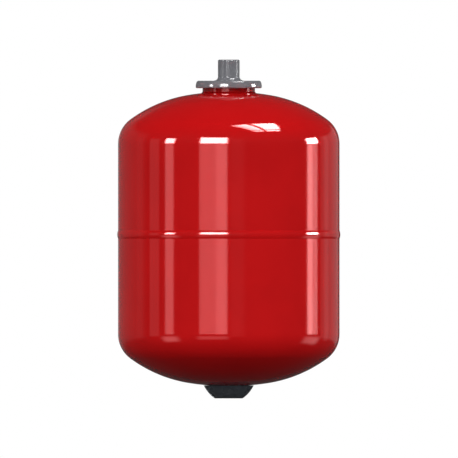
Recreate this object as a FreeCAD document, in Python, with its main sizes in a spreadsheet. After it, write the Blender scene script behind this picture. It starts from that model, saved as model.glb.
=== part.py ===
"""Expansion vessel for a closed heating circuit: 18 litres, hung from its own pipe connection.

Two deep-drawn half shells are joined by a girth weld. A rubber bladder hangs in them from a pressed
flange that is crimped over the lip of the neck, and the flange carries the threaded connection. The
air side is charged through a valve in the middle of the lower dome, under a push-on cover.

The origin is on the vessel's axis at the foot of the connection thread, +Z points out of the
connection, and the cover's first finger flute faces -Y. Lengths are in millimetres.
"""

import FreeCAD, Part
import math
import os

import Sketcher
from FreeCAD import Placement, Rotation, Vector

# Driving dimensions: each one is a cell of the sheet, named by its alias.
DIMENSIONS = [
    ("tank_od", 270.0, "outside diameter of the cylinder"),
    ("sheet_wall", 1.0, "drawn steel sheet of the half shells"),
    ("crown_radius", 309.0, "outer radius of the flat crown of each dome"),
    ("crown_edge", 47.7, "distance from the axis at which the crown ends"),
    ("shoulder_radius", 165.0, "outer radius of the dome between crown and knuckle"),
    ("knuckle_radius", 37.0, "outer radius where the dome turns into the cylinder"),
    ("upper_straight", 110.7, "cylinder from the upper knuckle to the seam"),
    ("lower_straight", 121.3, "cylinder from the seam to the lower knuckle"),
    ("seam_root", 1.0, "gap between the half shells at the seam"),
    ("seam_bevel", 0.5, "depth of the bevel on each rim, under the girth weld's cap"),
    ("joggle_length", 9.0, "length of the lower shell's rim inside the upper shell"),
    ("joggle_gap", 0.1, "radial gap between the rims"),
    ("bead_width", 10.2, "width of the girth weld's cap"),
    ("bead_radius", 13.5, "radius across the girth weld's cap"),
    ("neck_od", 64.0, "outside diameter of the neck"),
    ("collar_wall", 2.0, "wall of the neck collar and of its lip"),
    ("neck_height", 5.8, "neck between the flange and the dome"),
    ("collar_inside", 4.0, "length of the collar below the dome's outer face"),
    ("collar_bend", 2.5, "inner bend radius of the collar's lip"),
    ("hole_gap", 0.05, "radial gap of a part welded into a hole in a sheet"),
    ("weld_leg", 1.6, "leg of the neck and socket welds"),
    ("lip_width", 6.1, "collar's lip beyond the outside of the neck"),
    ("plate_wall", 2.0, "sheet of the flange"),
    ("rim_top_radius", 3.2, "outer radius of the flange's upper edge"),
    ("rim_bottom_radius", 1.8, "outer radius of the flange's crimped edge"),
    ("crimp_gap", 0.2, "radial gap between collar lip and flange rim"),
    ("crimp_clearance", 1.0, "radial gap between neck and crimped edge"),
    ("thread_od", 26.44, "crest diameter of the G 3/4 connection thread"),
    ("thread_length", 21.2, "connection thread from its foot to the end face"),
    ("thread_chamfer", 1.2, "chamfer at the end of the connection"),
    ("thread_relief", 0.22, "radial step from the thread down to the nipple's root"),
    ("nipple_bore", 19.0, "waterway through the connection"),
    ("bore_chamfer", 0.8, "chamfer at the mouth of the waterway"),
    ("flare_height", 4.5, "height of the weld between nipple and flange"),
    ("flare_radius", 4.6, "hollow radius of that weld"),
    ("flare_toe", 0.3, "blunt edge of that weld on the flange"),
    ("bladder_lip", 3.0, "thickness of the bladder's clamped lip"),
    ("bladder_gap", 0.1, "clearance round the bladder's lip and neck"),
    ("bladder_wall", 1.8, "rubber wall of the bag"),
    ("bladder_od", 176.0, "outside diameter of the bag as moulded"),
    ("bladder_length", 290.0, "bag from its lip to its lowest point"),
    ("lip_ease", 0.2, "rounding of the lip's edge beyond the flange's inner bend"),
    ("bladder_neck", 22.0, "straight neck of the bag below its lip"),
    ("bladder_throat", 12.0, "outer radius where the neck opens into the bag"),
    ("bladder_shoulder", 44.0, "outer radius of the bag's shoulder"),
    ("bladder_bottom", 60.0, "outer radius of the bag's lower end"),
    ("socket_od", 24.0, "outside diameter of the welded valve socket"),
    ("socket_length", 16.0, "length of the valve socket"),
    ("socket_proud", 5.0, "socket below the lower dome"),
    ("socket_recess", 8.0, "depth of the recess that holds the valve's hexagon"),
    ("recess_diameter", 18.4, "diameter of that recess"),
    ("socket_chamfer", 0.6, "chamfer that leads the cover on"),
    ("valve_thread", 11.8, "diameter at which the valve is screwed into the socket"),
    ("valve_gasket_wall", 1.0, "flat gasket under the hexagon"),
    ("valve_gasket_od", 15.0, "outside diameter of that gasket"),
    ("hexagon_flats", 13.0, "valve hexagon across flats"),
    ("hexagon_height", 3.2, "height of the valve hexagon"),
    ("hexagon_bevel", 0.7, "bevel of the hexagon's corners"),
    ("stem_od", 7.7, "crest diameter of the 8V1 valve thread"),
    ("stem_length", 6.0, "valve stem outside its hexagon"),
    ("stem_chamfer", 0.5, "chamfer at the mouth of the valve"),
    ("shank_length", 7.5, "valve shank inside the socket, above the gasket"),
    ("core_thread", 5.2, "diameter of the valve core's screwed head"),
    ("core_gap", 0.05, "radial gap of the pieces of the valve core"),
    ("core_inset", 0.6, "core head below the mouth of the valve"),
    ("core_head", 4.0, "length of the core head"),
    ("core_key_height", 1.6, "flats for the core key"),
    ("core_key_cut", 1.2, "depth of each of those flats"),
    ("barrel_clearance", 0.3, "radial air gap between the barrel and the chamber"),
    ("barrel_length", 6.0, "length of the core barrel"),
    ("barrel_wall", 0.5, "wall of the core barrel"),
    ("barrel_floor", 1.0, "inner end of the core barrel, which guides the pin"),
    ("cone_start", 5.0, "depth at which the core seat starts"),
    ("cone_length", 3.6, "length of the core seat"),
    ("cone_narrowing", 0.3, "radial step from the core thread to the air passage"),
    ("core_seal_start", 6.2, "depth of the core seal below the valve's mouth"),
    ("core_seal_length", 2.2, "length of the core seal"),
    ("pin_od", 1.4, "diameter of the valve pin"),
    ("pin_inset", 0.2, "pin tip below the mouth of the valve"),
    ("collar_clearance", 0.15, "radial gap between the pin's spring collar and the barrel"),
    ("pin_collar_wall", 0.6, "thickness of the spring collar"),
    ("pin_collar_inset", 0.5, "collar below the end of the core head"),
    ("cup_clearance", 0.4, "radial air gap round the cup at the pin's inner end"),
    ("pin_cup_wall", 0.8, "thickness of that cup"),
    ("seat_wall", 0.8, "rubber washer on the cup"),
    ("seat_gap", 0.1, "gap between that washer and the barrel"),
    ("spring_wire", 0.3, "wire of the core spring"),
    ("spring_turns", 5.0, "turns of the core spring"),
    ("spring_gap", 0.05, "clearance at each end of the core spring"),
    ("cap_wall", 1.1, "wall of the dust cap"),
    ("cap_gap", 0.05, "radial running gap between dust cap and stem"),
    ("cap_clearance", 0.4, "dust cap above the hexagon"),
    ("cap_end_wall", 1.0, "closed end of the dust cap"),
    ("cap_knurls", 20.0, "grip grooves round the dust cap"),
    ("cap_knurl_width", 0.8, "width of a grip groove"),
    ("cap_edge", 0.4, "chamfer round the end of the dust cap"),
    ("cap_seal_wall", 0.7, "rubber disc in the dust cap"),
    ("cap_seal_gap", 0.1, "clearance on each side of that disc"),
    ("cap_room", 4.1, "room inside the cover below the dust cap"),
    ("cover_rim_od", 60.8, "cover where it meets the dome"),
    ("cover_bottom_od", 33.8, "flat end of the cover"),
    ("cover_arc", 39.6, "outer radius of the cover's side"),
    ("cover_wall", 2.6, "moulded wall of the cover"),
    ("cover_floor", 1.6, "end wall of the cover"),
    ("cover_gap", 0.5, "gap between cover and dome"),
    ("sleeve_gap", 0.3, "radial gap between the cover's sleeve and the socket"),
    ("sleeve_wall", 1.6, "wall of the cover's sleeve"),
    ("sleeve_grip", 2.8, "length of the socket that the sleeve holds"),
    ("grip_ribs", 6.0, "ribs in the sleeve that grip the socket"),
    ("grip_rib_width", 1.2, "width of a grip rib"),
    ("grip_rib_gap", 0.04, "radial fit of the grip ribs on the socket"),
    ("cover_webs", 8.0, "webs between sleeve and side"),
    ("web_wall", 1.2, "thickness of a web"),
    ("web_height", 7.0, "height of the webs above the end wall"),
    ("flutes", 3.0, "finger flutes round the cover"),
    ("flute_depth", 1.6, "depth of a flute"),
    ("flute_radius", 100.0, "radius across a flute"),
    ("flute_arch", 8.0, "radius of the flute's arched top"),
    ("flute_top", 2.2, "arch below the cover's rim"),
]

doc = FreeCAD.newDocument("expansion_vessel")
sheet = doc.addObject("Spreadsheet::Sheet", "Dims")
for row, (alias, number, meaning) in enumerate(DIMENSIONS, start=1):
    sheet.set(f"A{row}", meaning)
    sheet.set(f"B{row}", str(number))
    sheet.setAlias(f"B{row}", alias)
doc.recompute()

# ---------------------------------------------------------------- derived sizes, as expressions

TANK_R = "Dims.tank_od / 2"
NECK_R = "Dims.neck_od / 2"
BEVEL_R = f"({TANK_R} - Dims.seam_bevel)"
INNER_R = f"({TANK_R} - Dims.sheet_wall)"
LIP_R = f"({NECK_R} + Dims.lip_width)"
CAVITY_R = f"({LIP_R} + Dims.crimp_gap)"
FLANGE_R = f"({CAVITY_R} + Dims.plate_wall)"
THREAD_R = "Dims.thread_od / 2"
ROOT_R = f"({THREAD_R} - Dims.thread_relief)"
SOCKET_R = "Dims.socket_od / 2"
STEM_R = "Dims.stem_od / 2"
VALVE_THREAD_R = "Dims.valve_thread / 2"
CORE_R = "Dims.core_thread / 2"
CHAMBER_R = f"({CORE_R} - Dims.cone_narrowing)"
BARREL_R = f"({CHAMBER_R} - Dims.barrel_clearance)"
BARREL_BORE_R = f"({BARREL_R} - Dims.barrel_wall)"
PIN_R = "Dims.pin_od / 2"
CUP_R = f"({CHAMBER_R} - Dims.cup_clearance)"
CAP_BORE_R = f"({STEM_R} + Dims.cap_gap)"
CAP_R = f"({CAP_BORE_R} + Dims.cap_wall)"

# A dome's meridian is three arcs that run into each other. These are the sine and cosine of its
# slope at the crown's edge and at the knuckle, and the heights above the knuckle's level.
CROWN_SIN = "(Dims.crown_edge / Dims.crown_radius)"
CROWN_COS = f"sqrt(1 - {CROWN_SIN}^2)"
KNUCKLE_SIN = (
    f"(({TANK_R} - Dims.knuckle_radius - Dims.crown_edge + Dims.shoulder_radius * {CROWN_SIN})"
    " / (Dims.shoulder_radius - Dims.knuckle_radius))"
)
KNUCKLE_COS = f"sqrt(1 - {KNUCKLE_SIN}^2)"
CROWN_CENTRE = (
    f"(-(Dims.shoulder_radius - Dims.knuckle_radius) * {KNUCKLE_COS}"
    f" - (Dims.crown_radius - Dims.shoulder_radius) * {CROWN_COS})"
)
DOME_HEIGHT = f"({CROWN_CENTRE} + Dims.crown_radius)"


def crown_height(radius, depth="0"):
    """Height of the crown above the knuckle's level, at a radius, a depth inside its outer face."""
    return f"({CROWN_CENTRE} + sqrt((Dims.crown_radius - {depth})^2 - ({radius})^2))"


# Levels down the axis from the foot of the thread.
PLATE_TOP = "(-Dims.flare_height)"
PLATE_UNDER = f"({PLATE_TOP} - Dims.plate_wall)"
LIP_SPACE = "(Dims.bladder_lip + 2 * Dims.bladder_gap)"
COLLAR_TOP = f"({PLATE_UNDER} - {LIP_SPACE})"
RIM_HEIGHT = f"(2 * Dims.plate_wall + {LIP_SPACE} + Dims.collar_wall)"
NECK_FOOT = f"({PLATE_TOP} - {RIM_HEIGHT} - Dims.neck_height)"
UPPER_LEVEL = f"({NECK_FOOT} - {crown_height(NECK_R)})"
SEAM = f"({UPPER_LEVEL} - Dims.upper_straight)"
LOWER_LEVEL = f"({SEAM} - Dims.lower_straight)"
LOWEST = f"({LOWER_LEVEL} - {DOME_HEIGHT})"
SOCKET_END = f"({LOWEST} - Dims.socket_proud)"
RECESS_FLOOR = f"({SOCKET_END} + Dims.socket_recess)"
HEXAGON_TOP = f"({RECESS_FLOOR} - Dims.valve_gasket_wall)"
HEXAGON_FOOT = f"({HEXAGON_TOP} - Dims.hexagon_height)"
MOUTH = f"({HEXAGON_FOOT} - Dims.stem_length)"

UPSIDE_DOWN = Rotation(Vector(1, 0, 0), 180)

sub_parts = []


def value(expression):
    """The number that an expression on the sheet's cells gives."""
    found = doc.getObject("Dims").evalExpression(expression.replace("Dims.", ""))
    return float(found)


class Arc:
    """Stands between two points of an outline: the edge between them is an arc of this radius.

    It turns left (anticlockwise) or right on its way from the first point to the second.
    """

    def __init__(self, radius, turn):
        self.radius = radius
        self.turn = turn


def draw(sketch, outline):
    """Draws a closed outline of (across, up) expressions and binds every point and radius to the sheet."""
    points = []
    arcs = {}
    for entry in outline:
        if isinstance(entry, Arc):
            arcs[len(points) - 1] = entry
        else:
            points.append(entry)
    places = [Vector(value(across), value(up), 0) for across, up in points]
    ends = []
    for index, start in enumerate(places):
        finish = places[(index + 1) % len(places)]
        if index not in arcs:
            edge = sketch.addGeometry(Part.LineSegment(start, finish), False)
            ends.append((edge, 1, 2))
            continue
        radius = value(arcs[index].radius)
        left = arcs[index].turn == "left"
        chord = finish - start
        rise = math.sqrt(radius**2 - (chord.Length / 2) ** 2)
        inward = Vector(-chord.y, chord.x, 0).normalize() * (rise if left else -rise)
        centre = (start + finish) / 2 + inward
        first, last = (start, finish) if left else (finish, start)
        begin = math.atan2(first.y - centre.y, first.x - centre.x)
        end = math.atan2(last.y - centre.y, last.x - centre.x)
        if end <= begin:
            end += 2 * math.pi
        circle = Part.Circle(centre, Vector(0, 0, 1), radius)
        edge = sketch.addGeometry(Part.ArcOfCircle(circle, begin, end), False)
        ends.append((edge, 1, 2) if left else (edge, 2, 1))
        bind(sketch, Sketcher.Constraint("Radius", edge, radius), arcs[index].radius)
    for index, (edge, start, _) in enumerate(ends):
        before, _, finish = ends[index - 1]
        sketch.addConstraint(Sketcher.Constraint("Coincident", before, finish, edge, start))
        across, up = points[index]
        place = places[index]
        if across == "0":
            sketch.addConstraint(Sketcher.Constraint("PointOnObject", edge, start, -2))
        else:
            bind(sketch, Sketcher.Constraint("DistanceX", -1, 1, edge, start, place.x), across)
        if up == "0":
            sketch.addConstraint(Sketcher.Constraint("PointOnObject", edge, start, -1))
        else:
            bind(sketch, Sketcher.Constraint("DistanceY", -1, 1, edge, start, place.y), up)


def bind(sketch, constraint, expression):
    """Adds a dimension to a sketch and ties it to the sheet."""
    index = sketch.addConstraint(constraint)
    sketch.setExpression(f"Constraints[{index}]", expression)


def new_body(label):
    body = doc.addObject("PartDesign::Body", label)
    body.Label = label
    return body


def new_sketch(body, name, role, outline, offset=None):
    """A sketch on one of the body's own origin planes, lifted off it by an expression if one is given."""
    plane = next(o for o in body.Origin.OriginFeatures if o.Role == role)
    sketch = body.newObject("Sketcher::SketchObject", name)
    sketch.AttachmentSupport = [(plane, "")]
    sketch.MapMode = "FlatFace"
    if offset is not None:
        sketch.setExpression("AttachmentOffset.Base.z", offset)
    draw(sketch, outline)
    return sketch


def turn(body, name, outline, kind="PartDesign::Revolution"):
    """Turns an outline of (radius, height) points about the body's Z axis, to add or to cut."""
    sketch = new_sketch(body, name + "_outline", "XZ_Plane", outline)
    feature = body.newObject(kind, name)
    feature.Profile = (sketch, [""])
    feature.ReferenceAxis = (sketch, ["V_Axis"])
    feature.Angle = 360
    sketch.Visibility = False
    return feature


def pad(body, name, role, outline, length, offset=None, midplane=False):
    """Pads an outline that is drawn on an origin plane."""
    sketch = new_sketch(body, name + "_outline", role, outline, offset)
    feature = body.newObject("PartDesign::Pad", name)
    feature.Profile = (sketch, [""])
    feature.setExpression("Length", length)
    feature.Midplane = midplane
    return feature


def pocket_up(body, name, outline, length):
    """Cuts an outline that is drawn on the body's XY plane, upwards from that plane."""
    sketch = new_sketch(body, name + "_outline", "XY_Plane", outline)
    feature = body.newObject("PartDesign::Pocket", name)
    feature.Profile = (sketch, [""])
    feature.setExpression("Length", length)
    feature.Reversed = True
    return feature


def repeat_round(body, name, feature, count):
    """Repeats a feature evenly round the body's Z axis."""
    pattern = body.newObject("PartDesign::PolarPattern", name)
    pattern.Originals = [feature]
    axis = next(o for o in body.Origin.OriginFeatures if o.Role == "Z_Axis")
    pattern.Axis = (axis, [""])
    pattern.Angle = 360
    pattern.setExpression("Occurrences", count)
    body.Tip = pattern
    return pattern


def place(item, height=None, rotation=None):
    """Sets an object on the vessel's axis, at a height if one is given, and keeps it as a sub-part."""
    item.Placement = Placement(Vector(0, 0, 0), rotation or Rotation())
    if height is not None:
        item.setExpression("Placement.Base.z", height)
    sub_parts.append(item)


def turned_part(label, outline, height=None, rotation=None):
    """A sub-part that is one turned outline."""
    body = new_body(label)
    turn(body, label + "_turned", outline)
    place(body, height, rotation)
    return body


# ---------------------------------------------------------------- the two half shells


def dome_points(hole_radius, depth):
    """Crown, shoulder and knuckle of a dome from its hole outwards, a depth inside the outer face."""
    inner_knuckle = f"(Dims.knuckle_radius - {depth})"
    return [
        (hole_radius, crown_height(hole_radius, depth)),
        Arc(f"Dims.crown_radius - {depth}", "right"),
        (
            f"(Dims.crown_radius - {depth}) * {CROWN_SIN}",
            f"{CROWN_CENTRE} + (Dims.crown_radius - {depth}) * {CROWN_COS}",
        ),
        Arc(f"Dims.shoulder_radius - {depth}", "right"),
        (
            f"{TANK_R} - Dims.knuckle_radius + {inner_knuckle} * {KNUCKLE_SIN}",
            f"{inner_knuckle} * {KNUCKLE_COS}",
        ),
        Arc(inner_knuckle, "right"),
        (f"{TANK_R} - {depth}", "0"),
    ]


def reversed_outline(outline):
    """The same edges walked the other way."""
    swap = {"left": "right", "right": "left"}
    return [
        Arc(entry.radius, swap[entry.turn]) if isinstance(entry, Arc) else entry
        for entry in reversed(outline)
    ]


def make_upper_shell():
    """Deep-drawn upper half: dome with the neck's hole, and a plain rim at the seam."""
    hole = f"{NECK_R} + Dims.hole_gap"
    rim = "-Dims.upper_straight + Dims.seam_root / 2"
    outline = dome_points(hole, "0")
    outline += [
        (TANK_R, "-Dims.upper_straight + Dims.bead_width / 2"),
        (BEVEL_R, rim),
        (INNER_R, rim),
    ]
    outline += reversed_outline(dome_points(hole, "Dims.sheet_wall"))
    turned_part("upper_shell", outline, UPPER_LEVEL)


def make_lower_shell():
    """Deep-drawn lower half, drawn dome up and then turned over: its rim is joggled into the upper half."""
    hole = f"{SOCKET_R} + Dims.hole_gap"
    shoulder = "-Dims.lower_straight + Dims.seam_root / 2"
    rim = f"{shoulder} - Dims.seam_root / 2 - Dims.joggle_length"
    joggle = f"{INNER_R} - Dims.joggle_gap"
    outline = dome_points(hole, "0")
    outline += [
        (TANK_R, "-Dims.lower_straight + Dims.bead_width / 2"),
        (BEVEL_R, shoulder),
        (joggle, shoulder),
        (joggle, rim),
        (f"{joggle} - Dims.sheet_wall", rim),
        (f"{joggle} - Dims.sheet_wall", f"{shoulder} + Dims.sheet_wall"),
        (INNER_R, f"{shoulder} + 2 * Dims.sheet_wall"),
    ]
    outline += reversed_outline(dome_points(hole, "Dims.sheet_wall"))
    turned_part("lower_shell", outline, LOWER_LEVEL, UPSIDE_DOWN)


def make_waist_weld():
    """Girth weld: a root between the bevelled rims, and a rounded cap that stands proud of the cylinder."""
    half_root = "Dims.seam_root / 2"
    half_bead = "Dims.bead_width / 2"
    outline = [
        (INNER_R, f"-{half_root}"),
        (BEVEL_R, f"-{half_root}"),
        (TANK_R, f"-{half_bead}"),
        Arc("Dims.bead_radius", "left"),
        (TANK_R, half_bead),
        (BEVEL_R, half_root),
        (INNER_R, half_root),
    ]
    turned_part("waist_weld", outline, SEAM)


# ---------------------------------------------------------------- neck, flange and connection


def make_neck_collar():
    """Pressed collar: a tube set through the dome, turned out into the lip that the flange grips."""
    inner = f"{NECK_R} - Dims.collar_wall"
    foot = f"{NECK_FOOT} - Dims.collar_inside - {COLLAR_TOP}"
    under_bend = "(Dims.crimp_clearance * 0.8)"
    outline = [
        (inner, foot),
        (inner, "-Dims.collar_bend"),
        Arc("Dims.collar_bend", "right"),
        (f"{inner} + Dims.collar_bend", "0"),
        (LIP_R, "0"),
        (LIP_R, "-Dims.collar_wall"),
        (f"{NECK_R} + {under_bend}", "-Dims.collar_wall"),
        Arc(under_bend, "left"),
        (NECK_R, f"-Dims.collar_wall - {under_bend}"),
        (NECK_R, foot),
    ]
    turned_part("neck_collar", outline, COLLAR_TOP)


def fillet_weld(label, radius, level, rotation=None):
    """Hollow fillet weld that lies in the corner between a tube and a dome's crown."""
    toe = f"({radius} + Dims.weld_leg)"
    outline = [
        (radius, crown_height(radius)),
        (radius, f"{crown_height(radius)} + Dims.weld_leg"),
        Arc("Dims.weld_leg * 1.3", "left"),
        (toe, crown_height(toe)),
        Arc("Dims.crown_radius", "left"),
    ]
    turned_part(label, outline, level, rotation)


def make_flange():
    """Pressed flange plate, its rim rolled down and in under the collar's lip."""
    hole = f"{ROOT_R} + Dims.hole_gap"
    wall = "Dims.plate_wall"
    inner_edge = f"{NECK_R} + Dims.crimp_clearance"
    inner_bend = f"(Dims.rim_top_radius - {wall})"
    outline = [
        (hole, "0"),
        (hole, f"-{wall}"),
        (f"{CAVITY_R} - {inner_bend}", f"-{wall}"),
        Arc(inner_bend, "right"),
        (CAVITY_R, f"-{wall} - {inner_bend}"),
        (CAVITY_R, f"-{RIM_HEIGHT} + {wall}"),
        (inner_edge, f"-{RIM_HEIGHT} + {wall}"),
        (inner_edge, f"-{RIM_HEIGHT}"),
        (f"{FLANGE_R} - Dims.rim_bottom_radius", f"-{RIM_HEIGHT}"),
        Arc("Dims.rim_bottom_radius", "left"),
        (FLANGE_R, f"-{RIM_HEIGHT} + Dims.rim_bottom_radius"),
        (FLANGE_R, "-Dims.rim_top_radius"),
        Arc("Dims.rim_top_radius", "left"),
        (f"{FLANGE_R} - Dims.rim_top_radius", "0"),
    ]
    turned_part("flange", outline, PLATE_TOP)


def make_connection_nipple():
    """Turned nipple: the threaded end outside, and a plainer root that passes through the flange."""
    bore = "Dims.nipple_bore / 2"
    outline = [
        (bore, PLATE_UNDER),
        (bore, "Dims.thread_length - Dims.bore_chamfer"),
        (f"{bore} + Dims.bore_chamfer", "Dims.thread_length"),
        (f"{THREAD_R} - Dims.thread_chamfer", "Dims.thread_length"),
        (THREAD_R, "Dims.thread_length - Dims.thread_chamfer"),
        (THREAD_R, "0"),
        (ROOT_R, "0"),
        (ROOT_R, PLATE_UNDER),
    ]
    turned_part("connection_nipple", outline)


def make_nipple_weld():
    """Hollow weld that flares from the thread's foot onto the flange."""
    toe = f"{THREAD_R} + Dims.flare_height + Dims.flare_toe / 2"
    outline = [
        (ROOT_R, PLATE_TOP),
        (ROOT_R, "0"),
        (THREAD_R, "0"),
        Arc("Dims.flare_radius", "left"),
        (toe, f"{PLATE_TOP} + Dims.flare_toe"),
        (toe, PLATE_TOP),
    ]
    turned_part("nipple_weld", outline)


# ---------------------------------------------------------------- bladder


def make_bladder():
    """Moulded rubber bag that holds the water, with the lip that seals between flange and collar."""
    wall = "Dims.bladder_wall"
    lip = f"{LIP_R} - Dims.bladder_gap"
    corner = "(Dims.rim_top_radius - Dims.plate_wall + Dims.lip_ease)"
    neck = f"({NECK_R} - Dims.collar_wall - Dims.bladder_gap)"
    bend = "(Dims.collar_bend + Dims.bladder_gap)"
    body = "Dims.bladder_od / 2"
    throat = "(-Dims.bladder_lip - Dims.bladder_neck)"
    top = f"({throat} - Dims.bladder_throat)"
    shoulder = f"min(Dims.bladder_shoulder; {body} - {neck} - Dims.bladder_throat - Dims.lip_ease)"
    end = "(-Dims.bladder_length)"
    outline = [
        (f"{neck} - {wall}", "0"),
        (f"{neck} - {wall}", throat),
        Arc(f"Dims.bladder_throat + {wall}", "left"),
        (f"{neck} + Dims.bladder_throat", f"{top} - {wall}"),
        (f"{body} - {shoulder}", f"{top} - {wall}"),
        Arc(f"{shoulder} - {wall}", "right"),
        (f"{body} - {wall}", f"{top} - {shoulder}"),
        (f"{body} - {wall}", f"{end} + Dims.bladder_bottom"),
        Arc(f"Dims.bladder_bottom - {wall}", "right"),
        (f"{body} - Dims.bladder_bottom", f"{end} + {wall}"),
        ("0", f"{end} + {wall}"),
        ("0", end),
        (f"{body} - Dims.bladder_bottom", end),
        Arc("Dims.bladder_bottom", "left"),
        (body, f"{end} + Dims.bladder_bottom"),
        (body, f"{top} - {shoulder}"),
        Arc(shoulder, "left"),
        (f"{body} - {shoulder}", top),
        (f"{neck} + Dims.bladder_throat", top),
        Arc("Dims.bladder_throat", "right"),
        (neck, throat),
        (neck, f"-Dims.bladder_lip - {bend}"),
        Arc(bend, "right"),
        (f"{neck} + {bend}", "-Dims.bladder_lip"),
        (lip, "-Dims.bladder_lip"),
        (lip, f"-{corner}"),
        Arc(corner, "left"),
        (f"{lip} - {corner}", "0"),
    ]
    turned_part("bladder", outline, f"{PLATE_UNDER} - Dims.bladder_gap")


# ---------------------------------------------------------------- charging valve


def make_valve_socket():
    """Turned steel socket, welded into the lower dome: thread inside, recess for the hexagon outside."""
    recess = "Dims.recess_diameter / 2"
    chamfer = "Dims.socket_chamfer"
    outline = [
        (VALVE_THREAD_R, "Dims.socket_length"),
        (VALVE_THREAD_R, "Dims.socket_recess"),
        (recess, "Dims.socket_recess"),
        (recess, "0"),
        (f"{SOCKET_R} - {chamfer}", "0"),
        (SOCKET_R, chamfer),
        (SOCKET_R, f"Dims.socket_length - {chamfer}"),
        (f"{SOCKET_R} - {chamfer}", "Dims.socket_length"),
    ]
    turned_part("valve_socket", outline, SOCKET_END)


def make_valve_gasket():
    """Flat ring that seals the valve's hexagon on the floor of the recess."""
    outline = [
        (VALVE_THREAD_R, "0"),
        ("Dims.valve_gasket_od / 2", "0"),
        ("Dims.valve_gasket_od / 2", "Dims.valve_gasket_wall"),
        (VALVE_THREAD_R, "Dims.valve_gasket_wall"),
    ]
    turned_part("valve_gasket", outline, HEXAGON_TOP)


def hexagon(across_flats):
    """Six corners round the axis, with two flats square to X."""
    half = f"{across_flats} / 2"
    side = f"({across_flats} / sqrt(3))"
    return [
        (half, f"-{side} / 2"),
        (half, f"{side} / 2"),
        ("0", side),
        (f"-{half}", f"{side} / 2"),
        (f"-{half}", f"-{side} / 2"),
        ("0", f"-{side}"),
    ]


def make_valve_body():
    """Brass valve body: screwed shank, hexagon and stem, bored for the valve core. Its mouth is at 0."""
    body = new_body("valve_body")
    hexagon_foot = "Dims.stem_length"
    hexagon_top = f"({hexagon_foot} + Dims.hexagon_height)"
    shank_end = f"({hexagon_top} + Dims.valve_gasket_wall + Dims.shank_length)"
    corner = "(Dims.hexagon_flats / sqrt(3))"
    core = f"{CORE_R} + Dims.core_gap"
    cone_end = "(Dims.cone_start + Dims.cone_length)"
    pad(body, "hexagon", "XY_Plane", hexagon("Dims.hexagon_flats"), "Dims.hexagon_height", hexagon_foot)
    outline = [
        ("0", "0"),
        (f"{STEM_R} - Dims.stem_chamfer", "0"),
        (STEM_R, "Dims.stem_chamfer"),
        (STEM_R, hexagon_top),
        (VALVE_THREAD_R, hexagon_top),
        (VALVE_THREAD_R, shank_end),
        ("0", shank_end),
    ]
    turn(body, "stem_and_shank", outline)
    bore = [
        ("0", "0"),
        (core, "0"),
        (core, "Dims.cone_start"),
        (CHAMBER_R, cone_end),
        (CHAMBER_R, shank_end),
        ("0", shank_end),
    ]
    turn(body, "core_chamber", bore, "PartDesign::Groove")
    bevel = [
        (f"{corner} - Dims.hexagon_bevel", hexagon_foot),
        (f"{corner} + Dims.hexagon_bevel", hexagon_foot),
        (f"{corner} + Dims.hexagon_bevel", f"{hexagon_foot} + Dims.hexagon_bevel"),
    ]
    turn(body, "hexagon_bevel_cut", bevel, "PartDesign::Groove")
    place(body, MOUTH)


def make_core_head():
    """Screwed head of the valve core, with two flats for the core key."""
    body = new_body("core_head")
    bore = f"{PIN_R} + 4 * Dims.core_gap"
    beyond = f"{CORE_R} + Dims.core_gap"
    outline = [
        (bore, "0"),
        (CORE_R, "0"),
        (CORE_R, "Dims.core_head"),
        (bore, "Dims.core_head"),
    ]
    turn(body, "core_head_turned", outline)
    flat = [
        (f"{CORE_R} - Dims.core_key_cut", f"-({beyond})"),
        (beyond, f"-({beyond})"),
        (beyond, beyond),
        (f"{CORE_R} - Dims.core_key_cut", beyond),
    ]
    key = pocket_up(body, "key_flat", flat, "Dims.core_key_height")
    repeat_round(body, "key_flats", key, "2")
    place(body, f"{MOUTH} + Dims.core_inset")


def make_core_barrel():
    """Barrel of the valve core: it holds the spring and guides the pin at its inner end."""
    guide = f"{PIN_R} + 2 * Dims.core_gap"
    outline = [
        (BARREL_BORE_R, "0"),
        (BARREL_R, "0"),
        (BARREL_R, "Dims.barrel_length"),
        (guide, "Dims.barrel_length"),
        (guide, "Dims.barrel_length - Dims.barrel_floor"),
        (BARREL_BORE_R, "Dims.barrel_length - Dims.barrel_floor"),
    ]
    turned_part("core_barrel", outline, f"{MOUTH} + Dims.core_inset + Dims.core_head")


def make_core_seal():
    """Tapered ring round the barrel, seated in the valve body's cone."""
    widest = f"({CORE_R} + Dims.core_gap)"
    taper = f"(({widest} - {CHAMBER_R}) / Dims.cone_length)"
    seat = f"{widest} - {taper} * (Dims.core_seal_start - Dims.cone_start)"
    outline = [
        (BARREL_R, "0"),
        (seat, "0"),
        (f"{seat} - {taper} * Dims.core_seal_length", "Dims.core_seal_length"),
        (BARREL_R, "Dims.core_seal_length"),
    ]
    turned_part("core_seal", outline, f"{MOUTH} + Dims.core_seal_start")


# Depths of the moving pieces of the core, from the mouth of the valve.
COLLAR_DEPTH = "(Dims.core_inset + Dims.core_head + Dims.pin_collar_inset)"
SPRING_START = f"({COLLAR_DEPTH} + Dims.pin_collar_wall)"
BARREL_END = "(Dims.core_inset + Dims.core_head + Dims.barrel_length)"
SEAT_START = f"({BARREL_END} + Dims.seat_gap)"
CUP_START = f"({SEAT_START} + Dims.seat_wall)"


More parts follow.
